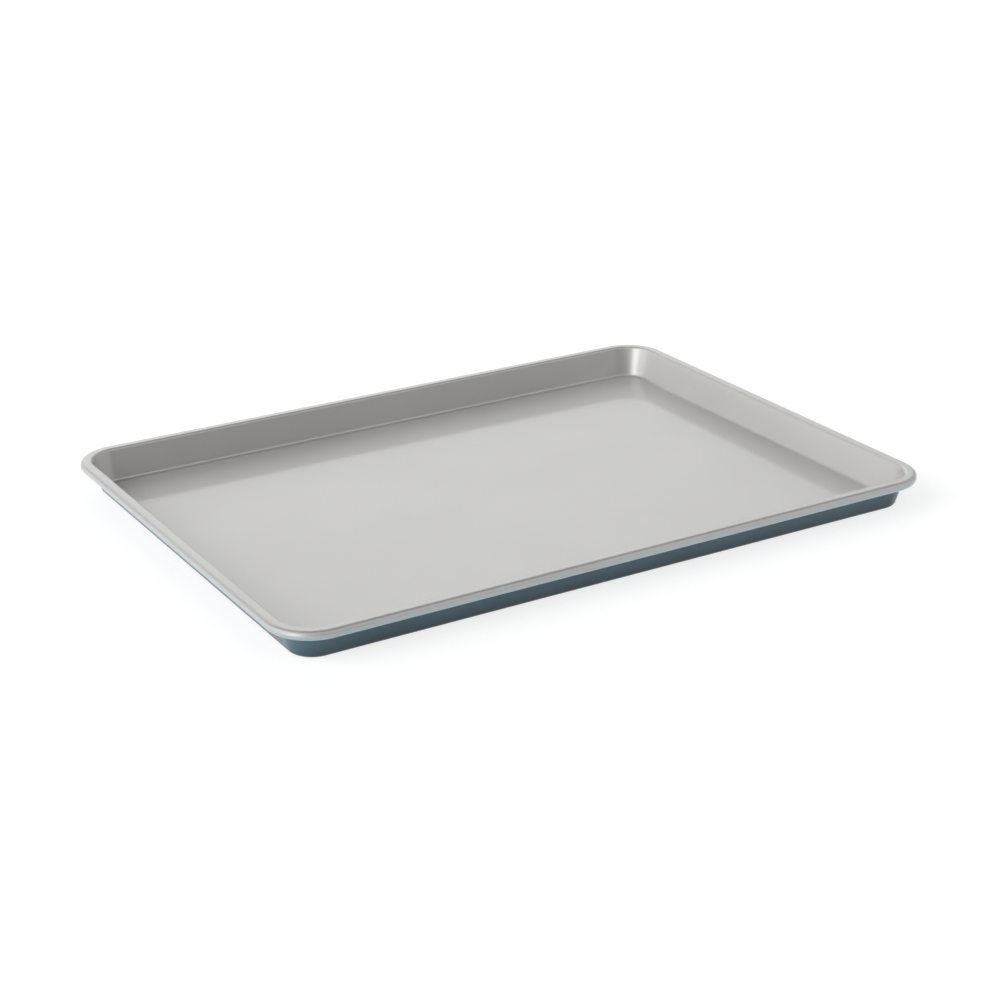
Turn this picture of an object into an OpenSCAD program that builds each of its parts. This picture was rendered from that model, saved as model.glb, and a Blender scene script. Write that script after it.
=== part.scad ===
// Jelly roll pan: a shallow tray pressed from one sheet, with its edge rolled round a wire.
// Sizes are in millimetres. The origin is the middle of the underside, where the pan stands.
// X runs along the long sides and Z points up.

/* [Overall] */
// Length over the rolled rim
pan_length = 450; // [380:5:500]
// Width over the rolled rim
pan_width = 330; // [260:5:380]
// Height from the underside to the top of the rim
pan_height = 21.5; // [18:0.5:26]
// Radius of the rim's outer edge at the corners, seen from above
corner_radius = 28; // [26:1:40]

/* [Sheet] */
// Thickness of the sheet
sheet_thickness = 0.8; // [0.6:0.1:1.2]
// Angle by which the walls lean outwards
wall_lean = 16; // [8:1:20]
// Radius inside the bend between the floor and the walls
floor_bend = 2; // [1:0.5:6]
// Radius under the bend between the walls and the lip
lip_bend = 1.2; // [0.8:0.1:1.6]

/* [Rolled rim] */
// Diameter of the wire in the rim
wire_diameter = 4.2; // [3:0.1:5]
// Gap between the wire and the sheet round it
wire_clearance = 0.05; // [0.02:0.01:0.1]
// Gap between the two ends of the wire
wire_end_gap = 1; // [0.5:0.5:4]
// Gap between the roll and the wall below the lip
roll_gap = 1.2; // [0.6:0.1:2]
// Angle that the sheet is rolled through, from the top of the roll
roll_angle = 290; // [250:5:300]

/* [Hidden] */
$fn = 64;

// The roll, whose hollow holds the wire
roll_hollow = wire_diameter / 2 + wire_clearance;
roll_radius = roll_hollow + sheet_thickness;

// How far the wall rises and reaches outwards, from the centre of its lower bend to that of its upper one
wall_rise = pan_height - 2 * sheet_thickness - lip_bend - floor_bend;
bends_across = lip_bend + sheet_thickness + floor_bend;
wall_reach = (wall_rise * sin(wall_lean) + bends_across) / cos(wall_lean);

// The lip's flat top, and the floor from a corner's centre out to its bend
lip_flat = roll_gap + roll_radius - lip_bend;
floor_flat = corner_radius - roll_radius - lip_flat - wall_reach;

// The stretches between the corners' centres
straight_x = pan_length - 2 * corner_radius;
straight_y = pan_width - 2 * corner_radius;

// The section of the sheet starts at a corner's centre and runs outwards along X. It has three bends.
floor_centre = [floor_flat, sheet_thickness + floor_bend];
lip_centre = [floor_flat + wall_reach, pan_height - sheet_thickness - lip_bend];
roll_centre = [corner_radius - roll_radius, pan_height - roll_radius];

// Points along an arc of the section, close enough together to look round
arc_step = 10;
function arc_point(centre, radius, angle) = centre + radius * [cos(angle), sin(angle)];
function arc(centre, radius, from, to) =
    let (steps = ceil(abs(to - from) / arc_step))
    [for (i = [0 : steps]) arc_point(centre, radius, from + (to - from) * i / steps)];

// The sheet's section: the underside out to the edge inside the roll, then the upper side back
module sheet_section() {
    roll_end = 90 - roll_angle;
    polygon(concat(
        [[0, 0]],
        arc(floor_centre, floor_bend + sheet_thickness, -90, -wall_lean),
        arc(lip_centre, lip_bend, 180 - wall_lean, 90),
        arc(roll_centre, roll_hollow, 90, roll_end),
        arc(roll_centre, roll_radius, roll_end, 90),
        arc(lip_centre, lip_bend + sheet_thickness, 90, 180 - wall_lean),
        arc(floor_centre, floor_bend, -wall_lean, -90),
        [[0, sheet_thickness]]
    ));
}

// The wire's section, in the middle of the roll
module wire_section() {
    translate(roll_centre) circle(d = wire_diameter);
}

// Carries a section along the four sides and round the four corners
module around_pan() {
    for (turn = [0 : 3]) {
        lengthwise = turn % 2 == 0;
        out = (lengthwise ? straight_x : straight_y) / 2;
        along = (lengthwise ? straight_y : straight_x) / 2;
        rotate(90 * turn) translate([out, 0, 0]) {
            rotate([90, 0, 0]) linear_extrude(height = 2 * along, center = true) children();
            translate([0, along, 0]) rotate_extrude(angle = 90) children();
        }
    }
}

// The pressed sheet: the rim, lip, walls and edge of the floor go round the flat middle of the floor
module pan_body() {
    color([0.74, 0.73, 0.71]) {
        around_pan() sheet_section();
        translate([-straight_x / 2, -straight_y / 2, 0]) cube([straight_x, straight_y, sheet_thickness]);
    }
}

// The wire, whose ends meet in the middle of the back side
module rim_wire() {
    color([0.45, 0.46, 0.48]) difference() {
        around_pan() wire_section();
        translate([-wire_end_gap / 2, pan_width / 2 - 2 * roll_radius, pan_height - 2 * roll_radius])
            cube([wire_end_gap, 2 * roll_radius, 2 * roll_radius]);
    }
}

pan_body();
rim_wire();
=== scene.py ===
from math import ceil, cos, radians, sin

import bmesh
import bpy
from mathutils import Matrix, Vector


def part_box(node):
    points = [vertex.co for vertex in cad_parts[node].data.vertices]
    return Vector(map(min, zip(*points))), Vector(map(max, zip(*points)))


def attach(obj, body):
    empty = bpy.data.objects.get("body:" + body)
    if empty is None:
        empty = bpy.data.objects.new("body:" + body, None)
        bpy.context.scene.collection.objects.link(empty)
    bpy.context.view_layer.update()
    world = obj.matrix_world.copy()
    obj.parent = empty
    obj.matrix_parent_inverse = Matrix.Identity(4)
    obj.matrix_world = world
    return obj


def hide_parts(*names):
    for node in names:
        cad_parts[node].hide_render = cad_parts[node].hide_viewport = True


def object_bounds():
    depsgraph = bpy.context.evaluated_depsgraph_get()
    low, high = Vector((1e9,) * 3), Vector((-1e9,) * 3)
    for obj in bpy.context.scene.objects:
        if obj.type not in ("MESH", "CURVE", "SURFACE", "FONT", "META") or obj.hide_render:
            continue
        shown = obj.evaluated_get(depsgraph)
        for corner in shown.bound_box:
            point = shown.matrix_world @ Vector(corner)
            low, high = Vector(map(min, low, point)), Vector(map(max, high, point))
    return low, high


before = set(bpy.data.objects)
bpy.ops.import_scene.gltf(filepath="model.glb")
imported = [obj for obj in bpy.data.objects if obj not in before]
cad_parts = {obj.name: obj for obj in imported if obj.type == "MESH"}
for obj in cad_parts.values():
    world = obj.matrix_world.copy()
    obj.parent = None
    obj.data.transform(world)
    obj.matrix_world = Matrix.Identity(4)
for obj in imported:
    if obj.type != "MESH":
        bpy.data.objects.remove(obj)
cadLow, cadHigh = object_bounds()
wireLow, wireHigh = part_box("rim_wire")
print("frame loaded: the pan measures", [round(side, 4) for side in cadHigh - cadLow], "m")


# Node trees

def operator(operation, turned=False):
    def method(self, other):
        values = (other, self) if turned else (self, other)
        return self.nodes.add("ShaderNodeMath", {"operation": operation}, dict(enumerate(values)))
    return method


class Output:  # one output of a node, on which plain arithmetic adds Math nodes
    def __init__(self, nodes, socket):
        self.nodes = nodes
        self.socket = socket

    __add__ = operator("ADD")
    __radd__ = operator("ADD")
    __sub__ = operator("SUBTRACT")
    __rsub__ = operator("SUBTRACT", turned=True)
    __mul__ = operator("MULTIPLY")
    __rmul__ = operator("MULTIPLY")
    __truediv__ = operator("DIVIDE")
    __rtruediv__ = operator("DIVIDE", turned=True)
    __pow__ = operator("POWER")

    def size(self):
        return self.nodes.add("ShaderNodeMath", {"operation": "ABSOLUTE"}, {0: self})

    def either(self, other):
        return self.nodes.add("ShaderNodeMath", {"operation": "MAXIMUM"}, {0: self, 1: other})

    def eased(self, low, high):  # 0 below low and 1 above high, or the other way round if low is the larger
        sockets = {"Value": self, "From Min": low, "From Max": high}
        return self.nodes.add("ShaderNodeMapRange", {"interpolation_type": "SMOOTHSTEP"}, sockets)


class Nodes:  # a node tree that is filled one node at a time
    def __init__(self, tree):
        self.tree = tree
        self.tree.nodes.clear()

    def add(self, kind, settings=None, sockets=None, output=0):
        node = self.tree.nodes.new(kind)
        for name, setting in (settings or {}).items():
            setattr(node, name, setting)
        for key, value in (sockets or {}).items():
            self.set(self.find(node.inputs, key), value)
        return Output(self, self.find(node.outputs, output)) if node.outputs else node

    def find(self, sockets, key):  # by place, or by name among the sockets in use
        if isinstance(key, int):
            return sockets[key]
        return next(socket for socket in sockets if socket.enabled and socket.name == key)

    def set(self, socket, value):
        if isinstance(value, Output):
            self.tree.links.new(value.socket, socket)
        else:
            socket.default_value = value

    def noise(self, place, size, detail=2.0):  # from 0 to 1, with features of about that size in metres
        return self.add("ShaderNodeTexNoise", None, {"Vector": place, "Scale": 1 / size, "Detail": detail})

    def mixColours(self, factor, first, second):
        sockets = {"Factor": factor, "A": first, "B": second}
        return self.add("ShaderNodeMix", {"data_type": "RGBA"}, sockets, "Result")

    def bump(self, height):  # a height in metres
        return self.add("ShaderNodeBump", None, {"Strength": 1.0, "Distance": 1.0, "Height": height})

    def rays(self):  # each is 1 for its own kind of ray: straight from the camera, in gloss, through glass
        path = self.add("ShaderNodeLightPath").socket.node
        kinds = ("Is Camera Ray", "Is Glossy Ray", "Is Transmission Ray")
        return [Output(self, path.outputs[kind]) for kind in kinds]


def newMaterial(name):
    material = bpy.data.materials.new(name)
    material.use_nodes = True
    return material, Nodes(material.node_tree)


def rgba(colour):
    return (*colour, 1.0)


def shade(colour, share):  # the same colour, lighter or darker by a share
    return rgba([channel * (1 + share) for channel in colour])


def shades(colour, share):  # the darker and the lighter end of an uneven colour
    return shade(colour, -share), shade(colour, share)


black = rgba((0, 0, 0))
white = rgba((1, 1, 1))


# Sizes of the pan, as in the CAD model

pan = {
    "length": cadHigh.x - cadLow.x,
    "width": cadHigh.y - cadLow.y,
    "height": cadHigh.z,
    "cornerRadius": 0.028,
    "sheet": 0.0008,
    "coat": 0.00006,  # thickness of the slate finish, which is part of the sheet's
    "wallLean": 16,  # degrees
    "floorBend": 0.002,
    "lipBend": 0.0012,
    "wireClearance": 0.00005,
    "rollGap": 0.0012,
    "rollAngle": 290,  # degrees
    "floorEdge": 0.004,  # where the swept part of the floor starts, out from a corner's centre
    "arcStep": 6,  # degrees
    "cornerSteps": 24,
    "ease": 0.0003,  # how near a bend its flat neighbour has a point of its own
    "easeRoom": 0.0009,  # the shortest stretch that gets such points
    "weld": 1e-7,
    "sharpAngle": 40,  # degrees
}


# Finishes

silverFinish = {
    "colour": (0.562, 0.557, 0.543),
    "metallic": 0.5,
    "roughness": 0.45,
    "roughnessSpread": 0.04,
    "coatWeight": 1.0,  # of the clear layer over it
    "coatRoughness": 0.1,
    "coatIor": 1.5,
    "cloudSize": 0.09,  # broad cloudiness of the baked finish
    "cloudRange": (0.3, 0.7),
    "cloudShade": 0.025,
    "flakeSize": 0.0004,  # the flakes of metal in it
    "flakeRange": (0.35, 0.65),
    "flakeShare": 0.05,
    "flakeColour": (0.9, 0.9, 0.88),
    "waveSize": 0.07,  # slow waves of a large pressed sheet
    "waveHeight": 0.00006,
    "peelSize": 0.0009,  # the fine orange peel of a sprayed finish
    "peelHeight": 0.0000006,
    "haze": (0.37, 0.465, 0.49),  # the outside finish's mist on the roll
    "hazeHeights": (0.0164, 0.0213),  # where it is full and where it ends
    "hazeReach": (0.0222, 0.0228),  # how far out from a corner's centre it starts and is full
}


def makeSilverFinish(finish):
    material, nodes = newMaterial("silver_finish")
    place = nodes.add("ShaderNodeTexCoord", output="Object")
    cloud = nodes.noise(place, finish["cloudSize"])
    flake = nodes.noise(place, finish["flakeSize"], 1.0)
    cloudiness = cloud.eased(*finish["cloudRange"])
    base = nodes.mixColours(cloudiness, *shades(finish["colour"], finish["cloudShade"]))
    flakes = flake.eased(*finish["flakeRange"]) * finish["flakeShare"]
    colour = nodes.mixColours(flakes, base, rgba(finish["flakeColour"]))
    split = nodes.add("ShaderNodeSeparateXYZ", None, {"Vector": place}).socket.node
    x, y, z = [Output(nodes, split.outputs[name]) for name in "XYZ"]
    outX = (x.size() - (cadHigh.x - pan["cornerRadius"])).either(0)
    outY = (y.size() - (cadHigh.y - pan["cornerRadius"])).either(0)
    reach = (outX * outX + outY * outY) ** 0.5
    haze = reach.eased(*finish["hazeReach"]) * z.eased(*finish["hazeHeights"][::-1])
    colour = nodes.mixColours(haze, colour, rgba(finish["haze"]))
    wave = nodes.noise(place, finish["waveSize"], 0.0) * finish["waveHeight"]
    peel = nodes.noise(place, finish["peelSize"], 1.0) * finish["peelHeight"]
    roughness = finish["roughness"] + (cloud - 0.5) * finish["roughnessSpread"]
    surface = nodes.add("ShaderNodeBsdfPrincipled", None, {
        "Base Color": colour,
        "Metallic": finish["metallic"],
        "Roughness": roughness,
        "Coat Weight": finish["coatWeight"],
        "Coat Roughness": finish["coatRoughness"],
        "Coat IOR": finish["coatIor"],
        "Normal": nodes.bump(wave + peel),
    })
    nodes.add("ShaderNodeOutputMaterial", None, {"Surface": surface})
    return material


slateFinish = {
    "colour": (0.09, 0.175, 0.225),
    "fleck": (0.17, 0.25, 0.30),
    "fleckSize": 0.0005,
    "fleckRange": (0.55, 0.75),
    "fleckShare": 0.25,
    "cloudSize": 0.05,
    "cloudRange": (0.3, 0.7),
    "cloudShade": 0.06,
    "roughness": 0.34,
    "roughnessSpread": 0.05,
    "specular": 0.1,  # of the colour, under the clear layer
    "paintedFootShade": 0.5,  # painted shade: the colour is darkened by up to this share towards the foot, standing in for the shade there
    "footHeight": 0.014,  # where that starts
    "coatWeight": 0.5,  # of the clear layer
    "coatRoughness": 0.1,
    "peelSize": 0.0008,
    "peelHeight": 0.000002,
}


def makeSlateFinish(finish):
    material, nodes = newMaterial("slate_finish")
    place = nodes.add("ShaderNodeTexCoord", output="Object")
    cloud = nodes.noise(place, finish["cloudSize"])
    fleck = nodes.noise(place, finish["fleckSize"], 1.0)
    cloudiness = cloud.eased(*finish["cloudRange"])
    base = nodes.mixColours(cloudiness, *shades(finish["colour"], finish["cloudShade"]))
    flecks = fleck.eased(*finish["fleckRange"]) * finish["fleckShare"]
    colour = nodes.mixColours(flecks, base, rgba(finish["fleck"]))
    height = nodes.add("ShaderNodeSeparateXYZ", None, {"Vector": place}, "Z")
    # painted shade: darkens the colour towards the foot to stand in for the shade there
    foot = height.eased(finish["footHeight"], 0.0) * finish["paintedFootShade"]
    colour = nodes.mixColours(foot, colour, black)
    peel = nodes.noise(place, finish["peelSize"], 1.0) * finish["peelHeight"]
    surface = nodes.add("ShaderNodeBsdfPrincipled", None, {
        "Base Color": colour,
        "Roughness": finish["roughness"] + (cloud - 0.5) * finish["roughnessSpread"],
        "Specular IOR Level": finish["specular"],
        "Coat Weight": finish["coatWeight"],
        "Coat Roughness": finish["coatRoughness"],
        "Normal": nodes.bump(peel),
    })
    nodes.add("ShaderNodeOutputMaterial", None, {"Surface": surface})
    return material


wireSteel = {
    "colour": (0.46, 0.46, 0.47),
    "shade": 0.12,
    "roughness": 0.32,
    "roughnessSpread": 0.12,
    "grainSize": 0.0007,
    "grainHeight": 0.000004,
}


def makeWireSteel(finish):
    material, nodes = newMaterial("wire_steel")
    place = nodes.add("ShaderNodeTexCoord", output="Object")
    grain = nodes.noise(place, finish["grainSize"], 3.0)
    surface = nodes.add("ShaderNodeBsdfPrincipled", None, {
        "Base Color": nodes.mixColours(grain, *shades(finish["colour"], finish["shade"])),
        "Metallic": 1.0,
        "Roughness": finish["roughness"] + (grain - 0.5) * finish["roughnessSpread"],
        "Normal": nodes.bump(grain * finish["grainHeight"]),
    })
    nodes.add("ShaderNodeOutputMaterial", None, {"Surface": surface})
    return material


silver = makeSilverFinish(silverFinish)
slate = makeSlateFinish(slateFinish)
steel = makeWireSteel(wireSteel)
print("finishes made")


# The pan

def arc(centre, radius, start, end):
    steps = ceil(abs(end - start) / pan["arcStep"])
    angles = [radians(start + (end - start) * i / steps) for i in range(steps + 1)]
    return [centre + radius * Vector((cos(angle), sin(angle))) for angle in angles]


def joinRuns(runs):  # adds a point near each end of the straight stretch between two runs
    points = list(runs[0])
    for run in runs[1:]:
        gap = run[0] - points[-1]
        if gap.length > pan["easeRoom"]:
            step = gap.normalized() * pan["ease"]
            points += [points[-1] + step, run[0] - step]
        points += run
    return points


class Section:  # the sheet cut across a side: X runs outwards from a corner's centre, and Y is the height
    def __init__(self, pan):
        hollow = (wireHigh.z - wireLow.z) / 2 + pan["wireClearance"]
        lean = radians(pan["wallLean"])
        rise = pan["height"] - 2 * pan["sheet"] - pan["lipBend"] - pan["floorBend"]
        across = pan["lipBend"] + pan["sheet"] + pan["floorBend"]
        reach = (rise * sin(lean) + across) / cos(lean)
        self.pan = pan
        self.rollHollow = hollow
        self.rollRadius = hollow + pan["sheet"]
        self.rollCentre = Vector((pan["cornerRadius"] - self.rollRadius, pan["height"] - self.rollRadius))
        lipX = self.rollCentre.x - (pan["rollGap"] + self.rollRadius - pan["lipBend"])
        self.lipCentre = Vector((lipX, pan["height"] - pan["sheet"] - pan["lipBend"]))
        self.floorCentre = Vector((lipX - reach, pan["sheet"] + pan["floorBend"]))

    def side(self, depth):  # one side of the sheet out to the lip, at that depth under the upper side
        pan = self.pan
        return [
            [Vector((pan["floorEdge"], pan["sheet"] - depth))],
            arc(self.floorCentre, pan["floorBend"] + depth, -90, -pan["wallLean"]),
            arc(self.lipCentre, pan["lipBend"] + pan["sheet"] - depth, 180 - pan["wallLean"], 90),
        ]

    def roll(self, radius):
        return arc(self.rollCentre, radius, 90, 90 - self.pan["rollAngle"])

    def silverSheet(self):
        upper = self.side(0) + [self.roll(self.rollRadius)]
        lower = self.side(self.pan["sheet"] - self.pan["coat"])
        coatEnd = Vector((self.rollCentre.x, self.pan["height"] - self.pan["sheet"] + self.pan["coat"]))
        lower = lower + [[coatEnd], self.roll(self.rollHollow)]
        return joinRuns(upper) + joinRuns(lower)[::-1]

    def slateCoat(self):
        pan = self.pan
        underSheet = Vector((self.rollCentre.x, pan["height"] - pan["sheet"]))
        coatTop = underSheet + Vector((0, pan["coat"]))
        upper = self.side(pan["sheet"] - pan["coat"]) + [[coatTop]]
        lower = self.side(pan["sheet"]) + [[underSheet]]
        return joinRuns(upper) + joinRuns(lower)[::-1]


def makeSweep():  # carries a section round a rectangle with rounded corners
    tree = bpy.data.node_groups.new("sweep_round_rim", "GeometryNodeTree")
    inputs = {}
    for name, kind in (("Section", "Geometry"), ("Length", "Float"), ("Width", "Float"),
                       ("Corner Radius", "Float"), ("Corner Steps", "Int"), ("Finish", "Material")):
        inputs[name] = tree.interface.new_socket(name=name, in_out="INPUT", socket_type="NodeSocket" + kind)
    tree.interface.new_socket(name="Geometry", in_out="OUTPUT", socket_type="NodeSocketGeometry")
    nodes = Nodes(tree)
    given = nodes.add("NodeGroupInput").socket.node
    given = {name: Output(nodes, given.outputs[name]) for name in inputs}
    rectangle = nodes.add("GeometryNodeCurvePrimitiveQuadrilateral", None,
                          {"Width": given["Length"], "Height": given["Width"]})
    path = nodes.add("GeometryNodeFilletCurve", {"mode": "POLY"}, {
        "Curve": rectangle, "Count": given["Corner Steps"], "Radius": given["Corner Radius"]})
    section = nodes.add("GeometryNodeMeshToCurve", None, {"Mesh": given["Section"]})
    swept = nodes.add("GeometryNodeCurveToMesh", None, {"Curve": path, "Profile Curve": section})
    solid = nodes.add("GeometryNodeRealizeInstances", None, {"Geometry": swept})
    solid = nodes.add("GeometryNodeSetMaterial", None, {"Geometry": solid, "Material": given["Finish"]})
    nodes.add("NodeGroupOutput", None, {"Geometry": solid})
    return tree, {name: socket.identifier for name, socket in inputs.items()}


sweepTree, sweepInput = makeSweep()


def sweepPiece(name, points, finish):
    mesh = bpy.data.meshes.new(name)
    edges = [(i, i + 1) for i in range(len(points) - 1)]
    # the path runs along the rim's outer edge, and the sweep turns a section's Y downwards
    mesh.from_pydata([(x - pan["cornerRadius"], -y, 0) for x, y in points], edges, [])
    host = bpy.data.objects.new(name, mesh)
    bpy.context.collection.objects.link(host)
    sweep = host.modifiers.new("sweep", "NODES")
    sweep.node_group = sweepTree
    for key, value in (("Length", pan["length"]), ("Width", pan["width"]), ("Finish", finish),
                       ("Corner Radius", pan["cornerRadius"]), ("Corner Steps", pan["cornerSteps"])):
        sweep[sweepInput[key]] = value
    evaluated = host.evaluated_get(bpy.context.evaluated_depsgraph_get())
    plain = bpy.data.meshes.new_from_object(evaluated)
    host.modifiers.remove(sweep)
    host.data = plain
    closeFloor(plain)
    return host


def closeFloor(mesh):  # fills the middle of the floor on both sides, and turns every face outwards
    work = bmesh.new()
    work.from_mesh(mesh)
    bmesh.ops.remove_doubles(work, verts=work.verts, dist=pan["weld"])
    rims = [edge for edge in work.edges if edge.is_boundary]
    bmesh.ops.holes_fill(work, edges=rims, sides=0)
    bmesh.ops.recalc_face_normals(work, faces=work.faces)
    work.to_mesh(mesh)
    work.free()
    mesh.shade_smooth()
    mesh.set_sharp_from_angle(angle=radians(pan["sharpAngle"]))


section = Section(pan)
panSheet = sweepPiece("pan_sheet", section.silverSheet(), silver)
outsideCoat = sweepPiece("outside_coat", section.slateCoat(), slate)
for piece, slotName in ((panSheet, "silver_finish"), (outsideCoat, "slate_finish")):
    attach(piece, "root")
    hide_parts("pan_body")

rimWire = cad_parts["rim_wire"]
rimWire.data.materials.clear()
rimWire.data.materials.append(steel)
print("pan made")


# The studio

studio = {
    "table": (0.90, 0.905, 0.915),
    "tableReach": 30.0,
    "tableDrop": 0.0001,  # keeps the table just under the pan
    "glow": 1.25,  # plain white in what the eye sees of the table
    "glowShare": 0.6,
    "room": 0.61,  # the even light from all round
    "mirrorLimit": 1.2,  # as bright as reflections see it, or the pan's floor would mirror pure white
    "backdropTop": (0.04, 0.12),  # heights of the view between which the white backdrop ends in reflections
}

# Soft lighter and darker parts of the room, each a round patch. Azimuth 0 is behind the pan, 90 to its right.
# Most values came from fits to the photo's brightness and were rounded, and some were then changed.
patches = {
    "softbox": {"azimuth": -85, "elevation": 27, "core": 14, "edge": 36, "light": 3.5},
    "back_wall": {"azimuth": 18, "elevation": 35, "core": 6, "edge": 35, "light": 0.71},
    "front_ceiling": {"azimuth": 152, "elevation": 49, "core": 10, "edge": 47, "light": 0.44},
    "dark_front": {"azimuth": -174, "elevation": -10, "core": 8, "edge": 55, "light": -1.3},
    "dark_back": {"azimuth": -32, "elevation": 47, "core": 8, "edge": 23, "light": -0.95},
    "dark_ceiling": {"azimuth": 75, "elevation": 80, "core": 18, "edge": 44, "light": -0.93},
}

# A small bright window that only reflections show, for the glint in the far right corner
window = {"azimuth": -113, "elevation": 12, "core": 5, "edge": 18, "light": 3.2}


def makeTable():
    material, nodes = newMaterial("table_white")
    paper = nodes.add("ShaderNodeBsdfDiffuse", None, {"Color": rgba(studio["table"])})
    glow = nodes.add("ShaderNodeEmission", None, {"Color": white, "Strength": studio["glow"]})
    straight, gloss, through = nodes.rays()
    share = straight.either(gloss).either(through) * studio["glowShare"]
    surface = nodes.add("ShaderNodeMixShader", None, {0: share, 1: paper, 2: glow})
    nodes.add("ShaderNodeOutputMaterial", None, {"Surface": surface})
    reach = studio["tableReach"]
    mesh = bpy.data.meshes.new("table")
    corners = [(x * reach, y * reach, -studio["tableDrop"]) for x, y in ((-1, -1), (1, -1), (1, 1), (-1, 1))]
    mesh.from_pydata(corners, [], [(0, 1, 2, 3)])
    mesh.materials.append(material)
    table = bpy.data.objects.new("table", mesh)
    bpy.context.collection.objects.link(table)


def patchLight(nodes, direction, patch):
    turn = radians(patch["azimuth"])
    tilt = radians(patch["elevation"])
    middle = (sin(turn) * cos(tilt), cos(turn) * cos(tilt), sin(tilt))
    sockets = {0: direction, 1: middle}
    nearness = nodes.add("ShaderNodeVectorMath", {"operation": "DOT_PRODUCT"}, sockets, "Value")
    return nearness.eased(cos(radians(patch["edge"])), cos(radians(patch["core"]))) * patch["light"]


def makeWorld():
    world = bpy.data.worlds.new("studio")
    world.use_nodes = True
    bpy.context.scene.world = world
    nodes = Nodes(world.node_tree)
    direction = nodes.add("ShaderNodeTexCoord", output="Generated")
    light = studio["room"]
    for patch in patches.values():
        light = light + patchLight(nodes, direction, patch)
    height = nodes.add("ShaderNodeSeparateXYZ", None, {"Vector": direction}, "Z")
    low, high = studio["backdropTop"]
    straight, gloss, through = nodes.rays()
    mirrored = gloss.either(through)
    light = light - mirrored * (light - studio["mirrorLimit"]).either(0)
    light = light.either(0) + mirrored * patchLight(nodes, direction, window)
    backdrop = straight.either(mirrored * height.eased(high, low))
    strength = light.either(backdrop)
    background = nodes.add("ShaderNodeBackground", None, {"Color": white, "Strength": strength})
    nodes.add("ShaderNodeOutputWorld", None, {"Surface": background})


makeTable()
makeWorld()
bpy.context.scene.view_settings.view_transform = "Standard"


# The camera

# The photo's view, from a one-view fit to the pan's edges
camera = {
    "aim": (-0.00129, -0.00936, 0.00009),
    "distance": 1.3565,
    "azimuth": -30.8305,  # degrees
    "elevation": 22.1166,
    "roll": -0.53,
    "lens": 76.315,
    "sensor": 36,
}


def makeCamera():
    data = bpy.data.cameras.new("camera")
    data.lens = camera["lens"]
    data.sensor_width = camera["sensor"]
    turn = radians(camera["azimuth"])
    tilt = radians(camera["elevation"])
    back = Vector((sin(turn) * cos(tilt), -cos(turn) * cos(tilt), sin(tilt)))
    view = bpy.data.objects.new("camera", data)
    facing = back.to_track_quat("Z", "Y").to_matrix().to_4x4()
    place = Matrix.Translation(Vector(camera["aim"]) + camera["distance"] * back)
    view.matrix_world = place @ facing @ Matrix.Rotation(radians(camera["roll"]), 4, "Z")
    bpy.context.collection.objects.link(view)
    bpy.context.scene.camera = view


makeCamera()
print("studio and camera made")
